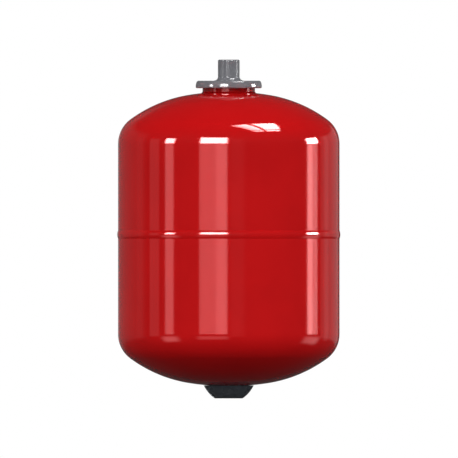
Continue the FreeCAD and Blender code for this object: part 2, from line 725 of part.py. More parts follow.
def make_valve_pin():
    """Pin that opens the valve when it is pressed: rod, spring collar and cup in one piece."""
    collar = f"{BARREL_BORE_R} - Dims.collar_clearance"
    outline = [
        ("0", "0"),
        (PIN_R, "0"),
        (PIN_R, f"{COLLAR_DEPTH} - Dims.pin_inset"),
        (collar, f"{COLLAR_DEPTH} - Dims.pin_inset"),
        (collar, f"{SPRING_START} - Dims.pin_inset"),
        (PIN_R, f"{SPRING_START} - Dims.pin_inset"),
        (PIN_R, f"{CUP_START} - Dims.pin_inset"),
        (CUP_R, f"{CUP_START} - Dims.pin_inset"),
        (CUP_R, f"{CUP_START} + Dims.pin_cup_wall - Dims.pin_inset"),
        ("0", f"{CUP_START} + Dims.pin_cup_wall - Dims.pin_inset"),
    ]
    turned_part("valve_pin", outline, f"{MOUTH} + Dims.pin_inset")


def make_pin_seat():
    """Rubber washer on the pin's cup, which closes the end of the barrel."""
    outline = [
        (PIN_R, "0"),
        (CUP_R, "0"),
        (CUP_R, "Dims.seat_wall"),
        (PIN_R, "Dims.seat_wall"),
    ]
    turned_part("pin_seat", outline, f"{MOUTH} + {SEAT_START}")


def make_core_spring():
    """Compression spring round the pin, between its collar and the barrel's inner end.

    Its wire is drawn with eight flats, which keeps its fine helix light.
    """
    space = f"({BARREL_END} - Dims.barrel_floor - {SPRING_START})"
    height = f"({space} - Dims.spring_wire - 2 * Dims.spring_gap)"
    coil_radius = f"({PIN_R} + {BARREL_BORE_R}) / 2"
    helix = doc.addObject("Part::Helix", "spring_path")
    helix.setExpression("Radius", coil_radius)
    helix.setExpression("Height", height)
    helix.setExpression("Pitch", f"{height} / Dims.spring_turns")
    wire = doc.addObject("Part::RegularPolygon", "spring_section")
    wire.Polygon = 8
    wire.setExpression("Circumradius", "Dims.spring_wire / 2")
    wire.Placement = Placement(Vector(0, 0, 0), Rotation(Vector(1, 0, 0), 90))
    wire.setExpression("Placement.Base.x", coil_radius)
    spring = doc.addObject("Part::Sweep", "core_spring")
    spring.Label = "core_spring"
    spring.Sections = [wire]
    spring.Spine = (helix, [])
    spring.Solid = True
    spring.Frenet = True
    place(spring, f"{MOUTH} + {SPRING_START} + Dims.spring_gap + Dims.spring_wire / 2")


# ---------------------------------------------------------------- dust cap and cover

CAP_SEAL_TOP = f"({MOUTH} - Dims.cap_seal_gap)"
CAP_INNER_END = f"({CAP_SEAL_TOP} - Dims.cap_seal_wall - Dims.cap_seal_gap)"
CAP_END = f"({CAP_INNER_END} - Dims.cap_end_wall)"
COVER_END = f"({CAP_END} - Dims.cap_room - Dims.cover_floor)"


def make_cap_seal():
    """Rubber disc that the dust cap presses on the mouth of the valve."""
    outline = [
        ("0", "0"),
        (f"{STEM_R} - Dims.cap_gap", "0"),
        (f"{STEM_R} - Dims.cap_gap", "Dims.cap_seal_wall"),
        ("0", "Dims.cap_seal_wall"),
    ]
    turned_part("cap_seal", outline, f"{CAP_SEAL_TOP} - Dims.cap_seal_wall")


def make_dust_cap():
    """Brass cap that screws onto the valve stem, with grip grooves round it. Its closed end is at 0."""
    body = new_body("dust_cap")
    height = f"({HEXAGON_FOOT} - Dims.cap_clearance - {CAP_END})"
    outline = [
        ("0", "0"),
        (f"{CAP_R} - Dims.cap_edge", "0"),
        (CAP_R, "Dims.cap_edge"),
        (CAP_R, height),
        (CAP_BORE_R, height),
        (CAP_BORE_R, "Dims.cap_end_wall"),
        ("0", "Dims.cap_end_wall"),
    ]
    turn(body, "dust_cap_turned", outline)
    half = "Dims.cap_knurl_width / 2"
    groove = [
        (f"{CAP_R} - {half}", "0"),
        (f"{CAP_R} + {half}", f"-{half} * 2"),
        (f"{CAP_R} + {half}", f"{half} * 2"),
    ]
    knurl = pocket_up(body, "grip_groove", groove, height)
    repeat_round(body, "grip_grooves", knurl, "Dims.cap_knurls")
    place(body, CAP_END)


COVER_HEIGHT = f"({LOWER_LEVEL} - {crown_height('Dims.cover_rim_od / 2')} - Dims.cover_gap - {COVER_END})"
COVER_RIM_R = "Dims.cover_rim_od / 2"
COVER_BOTTOM_R = "Dims.cover_bottom_od / 2"
# The side's arc: its centre, worked out from the chord between the rim and the flat end.
CHORD = f"sqrt(({COVER_RIM_R} - {COVER_BOTTOM_R})^2 + {COVER_HEIGHT}^2)"
CHORD_RISE = f"sqrt(Dims.cover_arc^2 - ({CHORD} / 2)^2)"
ARC_CENTRE_R = f"(({COVER_RIM_R} + {COVER_BOTTOM_R}) / 2 - {CHORD_RISE} * {COVER_HEIGHT} / {CHORD})"
ARC_CENTRE_Z = f"({COVER_HEIGHT} / 2 + {CHORD_RISE} * ({COVER_RIM_R} - {COVER_BOTTOM_R}) / {CHORD})"
INNER_ARC = "(Dims.cover_arc - Dims.cover_wall)"


def inside_radius(height):
    """Radius of the inner face of the cover's side at a height above its flat end."""
    return f"({ARC_CENTRE_R} + sqrt({INNER_ARC}^2 - ({height} - {ARC_CENTRE_Z})^2))"


def make_cover():
    """Moulded cover with a sleeve that pushes onto the valve socket. Its flat end is at 0."""
    body = new_body("cover_moulding")
    floor = "Dims.cover_floor"
    sleeve_in = f"({SOCKET_R} + Dims.sleeve_gap)"
    sleeve_out = f"({sleeve_in} + Dims.sleeve_wall)"
    sleeve_height = f"({SOCKET_END} + Dims.sleeve_grip - {COVER_END} - {floor})"
    sleeve_top = f"{floor} + {sleeve_height}"
    outline = [
        ("0", "0"),
        (COVER_BOTTOM_R, "0"),
        Arc("Dims.cover_arc", "left"),
        (COVER_RIM_R, COVER_HEIGHT),
        (inside_radius(COVER_HEIGHT), COVER_HEIGHT),
        Arc(INNER_ARC, "right"),
        (inside_radius(floor), floor),
        (sleeve_out, floor),
        (sleeve_out, sleeve_top),
        (sleeve_in, sleeve_top),
        (sleeve_in, floor),
        ("0", floor),
    ]
    turn(body, "cover_shell", outline)
    web_foot = f"({floor} / 2)"
    web_top = f"({floor} + Dims.web_height)"
    into_wall = "Dims.cover_wall / 2"
    web = [
        (f"{sleeve_out} - Dims.sleeve_wall / 2", web_foot),
        (f"{inside_radius(floor)} + {into_wall} / 2", web_foot),
        (f"{inside_radius(web_top)} + {into_wall} / 2", web_top),
        (f"{sleeve_out} - Dims.sleeve_wall / 2", web_top),
    ]
    rib = pad(body, "cover_web", "XZ_Plane", web, "Dims.web_wall", midplane=True)
    repeat_round(body, "cover_webs", rib, "Dims.cover_webs")
    grip_inner = f"{SOCKET_R} + Dims.grip_rib_gap"
    grip_outer = f"{sleeve_in} + Dims.sleeve_wall / 2"
    half = "Dims.grip_rib_width / 2"
    grip = [
        (grip_inner, f"-{half}"),
        (grip_outer, f"-{half}"),
        (grip_outer, half),
        (grip_inner, half),
    ]
    grip_rib = pad(body, "grip_rib", "XY_Plane", grip, sleeve_height, floor)
    repeat_round(body, "grip_ribs", grip_rib, "Dims.grip_ribs")
    cutters = [make_flute(index) for index in range(int(value("Dims.flutes")))]
    flutes = doc.addObject("Part::MultiFuse", "flute_cutters")
    flutes.Shapes = cutters
    cover = doc.addObject("Part::Cut", "protective_cover")
    cover.Label = "protective_cover"
    cover.Base = body
    cover.Tool = flutes
    place(cover, COVER_END)


def make_flute(index):
    """Cutter for one finger flute: a ring that follows the side's arc, kept inside an arched window."""
    turned = f"({index} * 360 / Dims.flutes - 90)"
    about_axis = Rotation(Vector(0, 0, 1), value(turned))
    arch_centre = f"({COVER_HEIGHT} - Dims.flute_top - Dims.flute_arch)"
    ring = doc.addObject("Part::Torus", f"flute_ring_{index}")
    ring.setExpression("Radius1", "Dims.cover_arc + Dims.flute_radius - Dims.flute_depth")
    ring.setExpression("Radius2", "Dims.flute_radius")
    ring.Placement = Placement(Vector(0, 0, 0), about_axis * Rotation(Vector(1, 0, 0), 90))
    ring.setExpression("Placement.Base.x", f"{ARC_CENTRE_R} * cos({turned})")
    ring.setExpression("Placement.Base.y", f"{ARC_CENTRE_R} * sin({turned})")
    ring.setExpression("Placement.Base.z", ARC_CENTRE_Z)
    arch = doc.addObject("Part::Cylinder", f"flute_arch_{index}")
    arch.setExpression("Radius", "Dims.flute_arch")
    arch.setExpression("Height", "Dims.cover_rim_od")
    arch.Placement = Placement(Vector(0, 0, 0), about_axis * Rotation(Vector(0, 1, 0), 90))
    arch.setExpression("Placement.Base.z", arch_centre)
    below = doc.addObject("Part::Box", f"flute_below_{index}")
    below.setExpression("Length", "Dims.cover_rim_od")
    below.setExpression("Width", "2 * Dims.flute_arch")
    below.setExpression("Height", f"{arch_centre} + Dims.cover_floor")
    below.Placement = Placement(Vector(0, 0, 0), about_axis)
    below.setExpression("Placement.Base.x", f"Dims.flute_arch * sin({turned})")
    below.setExpression("Placement.Base.y", f"-Dims.flute_arch * cos({turned})")
    below.setExpression("Placement.Base.z", "-Dims.cover_floor")
    window = doc.addObject("Part::Fuse", f"flute_window_{index}")
    window.Base = arch
    window.Tool = below
    flute = doc.addObject("Part::Common", f"flute_{index}")
    flute.Base = ring
    flute.Tool = window
    return flute


# ---------------------------------------------------------------- assembly and export

make_upper_shell()
make_lower_shell()
make_waist_weld()
make_neck_collar()
fillet_weld("neck_weld", NECK_R, UPPER_LEVEL)
make_flange()
make_connection_nipple()
make_nipple_weld()
make_bladder()
make_valve_socket()
fillet_weld("socket_weld", SOCKET_R, LOWER_LEVEL, UPSIDE_DOWN)
make_valve_gasket()
make_valve_body()
make_core_head()
make_core_barrel()
make_core_seal()
make_valve_pin()
make_pin_seat()
make_core_spring()
make_cap_seal()
make_dust_cap()
make_cover()
doc.recompute()

for item in doc.Objects:
    if {"Invalid", "Error"} & set(item.State):
        raise RuntimeError(f"{item.Label} did not recompute: {item.State}")
for item in sub_parts:
    if item.Shape.isNull() or not item.Shape.isValid():
        raise RuntimeError(f"{item.Label} has no valid shape")

os.makedirs("parts", exist_ok=True)
for item in sub_parts:
    item.Shape.exportStep(f"parts/{item.Label}.step")
    box = item.Shape.BoundBox
    print(
        f"{item.Label:18s} volume {item.Shape.Volume:11.2f}  solids {len(item.Shape.Solids)}"
        f"  z {box.ZMin:9.3f} to {box.ZMax:9.3f}  width {box.XLength:8.3f}"
    )
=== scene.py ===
"""Looks of an 18 litre expansion vessel, set round its packed design. All lengths are in metres."""

from math import asin, atan2, cos, hypot, pi, radians, sin

import bpy
from mathutils import Matrix, Vector


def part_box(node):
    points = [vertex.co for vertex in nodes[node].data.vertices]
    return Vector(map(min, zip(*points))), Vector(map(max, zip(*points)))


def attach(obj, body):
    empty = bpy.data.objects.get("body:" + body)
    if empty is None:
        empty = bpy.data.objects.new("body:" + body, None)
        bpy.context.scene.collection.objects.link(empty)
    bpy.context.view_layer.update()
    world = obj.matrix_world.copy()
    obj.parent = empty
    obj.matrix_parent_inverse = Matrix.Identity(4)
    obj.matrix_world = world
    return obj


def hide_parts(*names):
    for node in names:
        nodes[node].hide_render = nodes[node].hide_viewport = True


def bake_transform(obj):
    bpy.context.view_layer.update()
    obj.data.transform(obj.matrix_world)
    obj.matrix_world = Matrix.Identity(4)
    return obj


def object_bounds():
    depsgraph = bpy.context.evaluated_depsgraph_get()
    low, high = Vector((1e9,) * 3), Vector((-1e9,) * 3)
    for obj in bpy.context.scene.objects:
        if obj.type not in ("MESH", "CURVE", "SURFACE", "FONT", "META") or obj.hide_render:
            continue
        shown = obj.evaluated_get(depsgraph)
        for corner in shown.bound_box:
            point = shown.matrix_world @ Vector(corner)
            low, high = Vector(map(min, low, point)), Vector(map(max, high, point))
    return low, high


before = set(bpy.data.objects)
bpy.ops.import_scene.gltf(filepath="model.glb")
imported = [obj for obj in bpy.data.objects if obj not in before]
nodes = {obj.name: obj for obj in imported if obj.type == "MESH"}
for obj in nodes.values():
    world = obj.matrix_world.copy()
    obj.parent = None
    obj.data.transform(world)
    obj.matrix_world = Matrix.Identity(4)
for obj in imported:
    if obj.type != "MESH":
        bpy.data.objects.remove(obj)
cad_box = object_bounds()
MM = 0.001
bpy.ops.object.select_all(action="DESELECT")


# ---------------------------------------------------------------- half shells
# Two deep-drawn steel cups, 1 mm thick, joined at the waist. Each has a flat crown, a shoulder and a
# tight knuckle. Outside they carry a glossy baked red enamel; inside the drawn steel is bare.

TANK_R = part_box("upper_shell")[1].x
SEAM = (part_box("waist_weld")[0].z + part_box("waist_weld")[1].z) / 2
SHEET = 1.0 * MM
CROWN_R = 309 * MM
CROWN_EDGE = 47.7 * MM
SHOULDER_R = 165 * MM
KNUCKLE_R = 37 * MM
UPPER_STRAIGHT = 110.7 * MM
LOWER_STRAIGHT = 121.3 * MM
NECK_HOLE_R = 32.05 * MM
SOCKET_HOLE_R = 12.05 * MM
SEAM_ROOT = 1.0 * MM
JOGGLE_LENGTH = 9 * MM
JOGGLE_STEP = 1.1 * MM
ROW_GUARD = 0.6 * MM
ROUND_STEPS = 256
MERGE_DISTANCE = 0.001 * MM
SHARP_CORNER = radians(35)
SOFT_CORNER = radians(50)
RED = (0.58, 0.0062, 0.0072, 1)
RED_THICK = (0.54, 0.0054, 0.0064, 1)
FILM_PATCH = 60 * MM
ORANGE_PEEL = 2.6 * MM
PEEL_DEPTH = 0.0015 * MM
DUST_NIB = 1.1 * MM
NIB_HEIGHT = 0.008 * MM
DRAWN_STEEL = (0.42, 0.41, 0.39, 1)
DRAWN_STEEL_DARK = (0.22, 0.20, 0.18, 1)
STREAKS_PER_RADIAN = 60
STREAKS_PER_METRE = 8
STREAK_DEPTH = 0.006 * MM


class Wire:
    """An output of a node. An expression written with wires adds the Math nodes that work it out."""

    def __init__(self, owner, socket):
        self.owner = owner
        self.socket = socket

    def maths(self, operation, *values):
        """The result of a Math node."""
        return self.owner.node("ShaderNodeMath", {"operation": operation}, dict(enumerate(values)))

    def __add__(self, other):
        return self.maths("ADD", self, other)

    def __sub__(self, other):
        return self.maths("SUBTRACT", self, other)

    def __mul__(self, other):
        return self.maths("MULTIPLY", self, other)

    def __truediv__(self, other):
        return self.maths("DIVIDE", self, other)

    def __rsub__(self, other):
        return self.maths("SUBTRACT", other, self)

    def root(self):
        """The square root."""
        return self.maths("SQRT", self)

    __radd__ = __add__


class Nodes:
    """The node tree of one finish, or of the studio's light."""

    def __init__(self, tree):
        self.tree = tree
        tree.nodes.clear()

    def node(self, kind, settings=None, inputs=None, output=0):
        """Adds a node with its settings, and the values or wires of its sockets."""
        made = self.tree.nodes.new(kind)
        for name, value in (settings or {}).items():
            setattr(made, name, value)
        for name, value in (inputs or {}).items():
            if isinstance(value, Wire):
                self.tree.links.new(value.socket, made.inputs[name])
            else:
                made.inputs[name].default_value = value
        return Wire(self, made.outputs[output]) if made.outputs else None

    def parts(self, vector):
        """The x, y and z of a vector."""
        split = self.node("ShaderNodeSeparateXYZ", None, {0: vector}).socket.node
        return [Wire(self, socket) for socket in split.outputs]

    def step(self, value, low, high):
        """0 below low, 1 above high and a smooth rise between. It falls where low is above high."""
        rising = low < high
        ends = {"Value": value, "From Min": min(low, high), "From Max": max(low, high)}
        ends |= {"To Min": 0.0 if rising else 1.0, "To Max": 1.0 if rising else 0.0}
        return self.node("ShaderNodeMapRange", {"interpolation_type": "SMOOTHSTEP"}, ends)

    def mix(self, share, first, second):
        """A colour between two others."""
        settings = {"data_type": "RGBA", "blend_type": "MIX"}
        return self.node("ShaderNodeMix", settings, {0: share, 6: first, 7: second}, 2)

    def speckle(self, place, size, detail=2.0, roughness=0.5):
        """Noise about 0.5, with lumps of this size in metres."""
        inputs = {"Vector": place, "Scale": 1 / size, "Detail": detail, "Roughness": roughness}
        return self.node("ShaderNodeTexNoise", None, inputs)


class Finish(Nodes):
    """A painted, moulded or machined surface, drawn in the object's own metres."""

    def __init__(self, name):
        self.material = bpy.data.materials.new(name)
        self.material.use_nodes = True
        super().__init__(self.material.node_tree)
        self.place = self.node("ShaderNodeTexCoord", None, None, "Object")
        self.x, self.y, self.z = self.parts(self.place)

    def radius(self):
        """Distance from the vessel's axis."""
        return (self.x * self.x + self.y * self.y).root()

    def angle(self):
        """Turn round the vessel's axis, in radians."""
        return self.y.maths("ARCTAN2", self.y, self.x)

    def lathe_lines(self, pitch):
        """Fine rings that a tool leaves on what it turns, 0 to 1."""
        along = (self.z + self.radius() * 0.7) / pitch
        inputs = {"W": along, "Scale": 1.0, "Detail": 3.0, "Roughness": 0.7}
        return self.node("ShaderNodeTexNoise", {"noise_dimensions": "1D"}, inputs)

    def bump(self, height, depth, under=None):
        """A relief this deep in metres, on top of another one if that is given."""
        inputs = {"Height": height, "Distance": depth, "Strength": 1.0}
        if under:
            inputs["Normal"] = under
        return self.node("ShaderNodeBump", None, inputs)

    def shade(self, **inputs):
        """Ends the tree in a shader. A name's underscores stand for spaces."""
        named = {name.replace("_", " "): value for name, value in inputs.items()}
        shader = self.node("ShaderNodeBsdfPrincipled", None, named)
        self.node("ShaderNodeOutputMaterial", None, {"Surface": shader})
        return self.material


def red_enamel(name, thin, thick):
    """Baked gloss enamel: a little thicker in places, with a faint orange peel and a few dust nibs."""
    coat = Finish(name)
    film = coat.speckle(coat.place, FILM_PATCH, 3.0)
    peel = coat.speckle(coat.place, ORANGE_PEEL, 1.0)
    nibs = coat.step(coat.speckle(coat.place, DUST_NIB, 0.0), 0.86, 0.92)
    relief = coat.bump(peel, PEEL_DEPTH)
    return coat.shade(
        Base_Color=coat.mix(coat.step(film, 0.35, 0.7), thin, thick),
        Metallic=0.12,
        Roughness=0.055 + film * 0.03,
        Normal=coat.bump(nibs, NIB_HEIGHT, relief),
    )


def drawn_steel():
    """Bare sheet with the streaks of the drawing die running along the wall."""
    steel = Finish("drawn_steel")
    sides = {0: steel.angle() * STREAKS_PER_RADIAN, 1: steel.z * STREAKS_PER_METRE}
    streaks = steel.speckle(steel.node("ShaderNodeCombineXYZ", None, sides), 1.0, 4.0)
    return steel.shade(
        Base_Color=steel.mix(steel.step(streaks, 0.3, 0.7), DRAWN_STEEL, DRAWN_STEEL_DARK),
        Metallic=1.0,
        Roughness=0.32 + streaks * 0.2,
        Normal=steel.bump(streaks, STREAK_DEPTH),
    )


ENAMEL = red_enamel("red_enamel", RED, RED_THICK)
BARE_STEEL = drawn_steel()


class Outline:
    """The half section of a turned piece, drawn in the plane y = 0 and then spun round the Z axis."""

    def __init__(self, radius, height):
        bpy.ops.object.select_all(action="DESELECT")
        bpy.ops.mesh.primitive_plane_add(size=MM, enter_editmode=True)
        bpy.ops.mesh.select_all(action="SELECT")
        bpy.ops.mesh.merge(type="CENTER")
        self.at = Vector((radius, 0, height))
        bpy.ops.transform.translate(value=self.at)

    def line(self, radius, height):
        """A straight line to a point."""
        end = Vector((radius, 0, height))
        bpy.ops.mesh.extrude_region_move(TRANSFORM_OT_translate={"value": end - self.at})
        self.at = end

    def arc(self, radius, height, degrees, steps):
        """An arc round a centre. A positive turn goes from the upward side to the outward one."""
        centre = Vector((radius, 0, height))
        bpy.ops.mesh.spin(steps=steps, angle=-radians(degrees), center=centre, axis=(0, 1, 0))
        self.at = centre + Matrix.Rotation(radians(degrees), 3, "Y") @ (self.at - centre)

    def hollow(self, radius, height, bend, steps):
        """A hollow arc of this bend radius that ends at a point."""
        chord = Vector((radius, 0, height)) - self.at
        half = chord.length / 2
        aside = Vector((-chord.z, 0, chord.x)).normalized() * (bend**2 - half**2) ** 0.5
        centre = self.at + chord / 2 + aside
        self.arc(centre.x, centre.z, -2 * asin(half / bend) * 180 / pi, steps)

    def spin(self, name, steps=ROUND_STEPS):
        """Closes the drawing and turns it into a round piece."""
        bpy.ops.mesh.select_all(action="SELECT")
        bpy.ops.mesh.spin(steps=steps, angle=2 * pi, center=(0, 0, 0), axis=(0, 0, 1))
        bpy.ops.mesh.select_all(action="SELECT")
        bpy.ops.mesh.remove_doubles(threshold=MERGE_DISTANCE)
        bpy.ops.mesh.normals_make_consistent(inside=False)
        bpy.ops.object.mode_set(mode="OBJECT")
        piece = bpy.context.object
        piece.name = name
        return piece


def place_piece(piece, material, slot, body, *replaced):
    """Gives a finished piece its material and its body, and hides the plain nodes it stands for."""
    if not piece.data.materials:
        piece.data.materials.append(material)
    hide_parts(*replaced)
    if body:
        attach(piece, body)


def crown_centre(tangent, up):
    """Height of the centre of a dome's crown, from the level where its knuckle meets the cylinder."""
    tilt = asin(CROWN_EDGE / CROWN_R)
    shoulder_x = (CROWN_R - SHOULDER_R) * sin(tilt)
    knuckle_x = TANK_R - KNUCKLE_R
    drop = (SHOULDER_R - KNUCKLE_R) ** 2 - (knuckle_x - shoulder_x) ** 2
    return tangent - up * (drop**0.5 + (CROWN_R - SHOULDER_R) * cos(tilt))


def draw_dome(hole_radius, tangent, up):
    """Outline of a dome from its hole to the cylinder. up is 1 for the upper dome, -1 for the lower."""
    crown_z = crown_centre(tangent, up)
    tilt = asin(CROWN_EDGE / CROWN_R)
    start = asin(hole_radius / CROWN_R)
    outline = Outline(hole_radius, crown_z + up * CROWN_R * cos(start))
    outline.arc(0, crown_z, up * (tilt - start) * 180 / pi, 4)
    shoulder_x = (CROWN_R - SHOULDER_R) * sin(tilt)
    shoulder_z = crown_z + up * (CROWN_R - SHOULDER_R) * cos(tilt)
    knuckle_x = TANK_R - KNUCKLE_R
    turn = atan2(knuckle_x - shoulder_x, up * (tangent - shoulder_z))
    outline.arc(shoulder_x, shoulder_z, up * (turn - tilt) * 180 / pi, 18)
    outline.arc(knuckle_x, tangent, up * (pi / 2 - turn) * 180 / pi, 22)
    return outline


def finish_shell(outline, name, node):
    """Spins a shell, gives it its wall towards the inside, and leaves the inside bare."""
    shell = outline.spin(name)
    shell.data.materials.append(ENAMEL)
    shell.data.materials.append(BARE_STEEL)
    wall = shell.modifiers.new("wall", "SOLIDIFY")
    wall.thickness = SHEET
    wall.offset = -1
    wall.use_even_offset = True
    wall.material_offset = 1
    bpy.ops.object.modifier_apply(modifier=wall.name)
    bpy.ops.object.shade_smooth_by_angle(angle=SHARP_CORNER)
    place_piece(shell, ENAMEL, "red_paint", "vessel", node)


UPPER_LEVEL = SEAM + UPPER_STRAIGHT
LOWER_LEVEL = SEAM - LOWER_STRAIGHT
upper = draw_dome(NECK_HOLE_R, UPPER_LEVEL, 1)
upper.line(TANK_R, UPPER_LEVEL - ROW_GUARD)
upper.line(TANK_R, SEAM + SEAM_ROOT / 2)
finish_shell(upper, "upper_half_shell", "upper_shell")

# the lower shell's rim steps in and slides up inside the upper one, which centres the seam
lower = draw_dome(SOCKET_HOLE_R, LOWER_LEVEL, -1)
lower.line(TANK_R, LOWER_LEVEL + ROW_GUARD)
lower.line(TANK_R, SEAM - SEAM_ROOT / 2)
lower.line(TANK_R - JOGGLE_STEP, SEAM)
lower.line(TANK_R - JOGGLE_STEP, SEAM + JOGGLE_LENGTH)
finish_shell(lower, "lower_half_shell", "lower_shell")


# ---------------------------------------------------------------- girth weld
# One machine-laid bead that closes the two shells. The torch leaves a row of shallow scales round it,
# and the enamel runs over them.

BEAD_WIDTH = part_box("waist_weld")[1].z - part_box("waist_weld")[0].z
BEAD_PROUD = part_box("waist_weld")[1].x - TANK_R
BEAD_SCALES = 420
SCALE_DEPTH = 0.035 * MM
WELD_ROOT = 0.3 * MM
RIBS_PER_SCALE = 3

bead_r = (BEAD_WIDTH**2 / 4 + BEAD_PROUD**2) / (2 * BEAD_PROUD)
half_turn = asin(BEAD_WIDTH / 2 / bead_r) * 180 / pi
bead = Outline(TANK_R - WELD_ROOT, SEAM + SEAM_ROOT / 2)
bead.line(TANK_R, SEAM + BEAD_WIDTH / 2)
bead.arc(TANK_R + BEAD_PROUD - bead_r, SEAM, 2 * half_turn, 10)
bead.line(TANK_R - WELD_ROOT, SEAM - SEAM_ROOT / 2)
bead.line(TANK_R - WELD_ROOT, SEAM + SEAM_ROOT / 2)
girth_weld = bead.spin("girth_weld", RIBS_PER_SCALE * BEAD_SCALES)


def press_scales(weld, count, depth, middle):
    """Sinks the first rib of each scale of a bead, so that a row of scales stands between them."""
    bpy.ops.object.select_all(action="DESELECT")
    weld.select_set(True)
    bpy.context.view_layer.objects.active = weld
    for vertex in weld.data.vertices:
        rib = round(atan2(vertex.co.y, vertex.co.x) / (2 * pi) * RIBS_PER_SCALE * count)
        vertex.select = rib % RIBS_PER_SCALE == 0
    bpy.ops.object.mode_set(mode="EDIT")
    bpy.ops.mesh.select_mode(type="VERT")
    share = 1 - depth / max(v.co.x for v in weld.data.vertices)
    bpy.ops.transform.resize(value=(share, share, 1), center_override=(0, 0, middle))
    bpy.ops.object.mode_set(mode="OBJECT")
    bpy.ops.object.shade_smooth_by_angle(angle=SOFT_CORNER)


press_scales(girth_weld, BEAD_SCALES, SCALE_DEPTH, SEAM)
place_piece(girth_weld, ENAMEL, "red_paint", "vessel", "waist_weld")


# ---------------------------------------------------------------- neck collar
# Pressed steel tube that stands in the upper dome. Its lip is rolled out and carries the bladder's lip.
# It and its weld stand in the shade of the flange, which a darker red of the same enamel stands for.

collar_low, collar_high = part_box("neck_collar")
COLLAR_R = 32 * MM
COLLAR_WALL = 2 * MM
LIP_BEND_R = 2.5 * MM
LIP_UNDER_R = 0.8 * MM
EDGE = 0.3 * MM
RED_SHADED = (0.30, 0.0028, 0.0034, 1)
RED_SHADED_THICK = (0.27, 0.0025, 0.0030, 1)
COLLAR_ENAMEL = red_enamel("collar_enamel", RED_SHADED, RED_SHADED_THICK)

bore_r = COLLAR_R - COLLAR_WALL
lip_top, lip_under = collar_high.z, collar_high.z - COLLAR_WALL
collar = Outline(bore_r, collar_low.z)
collar.line(bore_r, lip_top - LIP_BEND_R)
collar.arc(bore_r + LIP_BEND_R, lip_top - LIP_BEND_R, 90, 8)
collar.line(collar_high.x - EDGE, lip_top)
collar.arc(collar_high.x - EDGE, lip_top - EDGE, 90, 4)
collar.line(collar_high.x, lip_under + EDGE)
collar.arc(collar_high.x - EDGE, lip_under + EDGE, 90, 4)
collar.line(COLLAR_R + LIP_UNDER_R, lip_under)
collar.arc(COLLAR_R + LIP_UNDER_R, lip_under - LIP_UNDER_R, -90, 6)
collar.line(COLLAR_R, lip_under - LIP_UNDER_R - ROW_GUARD)
collar.line(COLLAR_R, collar_low.z)
collar.line(bore_r, collar_low.z)
neck_tube = collar.spin("neck_tube")
bpy.ops.object.shade_smooth_by_angle(angle=SHARP_CORNER)
place_piece(neck_tube, COLLAR_ENAMEL, "red_paint", "vessel", "neck_collar")


# ---------------------------------------------------------------- collar weld
# Fillet weld between the neck collar and the upper dome. It is laid by hand, so its scales are
# coarser than those of the girth weld.

WELD_LOW, WELD_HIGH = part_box("neck_weld")
COLLAR_SCALES = 110
COLLAR_SCALE_DEPTH = 0.06 * MM
FILLET_SAG = 0.12 * MM

fillet = Outline(COLLAR_R - WELD_ROOT, WELD_HIGH.z - WELD_ROOT)
fillet.line(COLLAR_R, WELD_HIGH.z)
middle_x, middle_z = (COLLAR_R + WELD_HIGH.x) / 2, (WELD_HIGH.z + WELD_LOW.z) / 2
fillet.line(middle_x - FILLET_SAG, middle_z - FILLET_SAG)
fillet.line(WELD_HIGH.x, WELD_LOW.z)
fillet.line(WELD_HIGH.x - WELD_ROOT, WELD_LOW.z - WELD_ROOT)
fillet.line(COLLAR_R - WELD_ROOT, WELD_HIGH.z - WELD_ROOT)
collar_weld = fillet.spin("collar_weld", RIBS_PER_SCALE * COLLAR_SCALES)
press_scales(collar_weld, COLLAR_SCALES, COLLAR_SCALE_DEPTH, WELD_LOW.z)
place_piece(collar_weld, COLLAR_ENAMEL, "red_paint", "vessel", "neck_weld")


# ---------------------------------------------------------------- valve socket
# Steel socket welded in the middle of the lower dome, under the same enamel as the shells.

for name in ("valve_socket", "socket_weld"):
    nodes[name].material_slots[0].material = ENAMEL


# ---------------------------------------------------------------- flange
# Pressed from 2 mm sheet and crimped over the collar's lip with the bladder between. Flange, stub and
# their weld are coated together in a grey zinc-rich paint before they meet the red vessel.

flange_low, flange_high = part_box("flange")
PLATE = 2 * MM
RIM_TOP_R = 3.2 * MM
RIM_SIDE_R = 17 * MM
RIM_FOOT_R = 1.8 * MM
CRIMP_R = COLLAR_R + 1 * MM
CAVITY_R = 38.3 * MM
PLATE_HOLE_R = 13.05 * MM
GREY = (0.150, 0.150, 0.164, 1)
GREY_WORN = (0.180, 0.180, 0.194, 1)
GREY_GRAIN = 1.4 * MM
GREY_CLOUD = 14 * MM
TOOL_RINGS = 0.35 * MM
GRAIN_HEIGHT = 0.001 * MM
RING_HEIGHT = 0.0003 * MM


def grey_coat():
    """Gloss grey coat with a fine grain, over the faint rings of a turning tool."""
    coat = Finish("grey_coat")
    grain = coat.speckle(coat.place, GREY_GRAIN, 4.0, 0.6)
    cloud = coat.speckle(coat.place, GREY_CLOUD, 2.0)
    rings = coat.lathe_lines(TOOL_RINGS)
    worn = coat.step(grain * 0.6 + cloud * 0.4, 0.45, 0.62)
    return coat.shade(
        Base_Color=coat.mix(worn, GREY, GREY_WORN),
        Metallic=0.0,
        Roughness=0.06 + grain * 0.04,
        Normal=coat.bump(grain, GRAIN_HEIGHT, coat.bump(rings, RING_HEIGHT)),
    )


GREY_COAT = grey_coat()

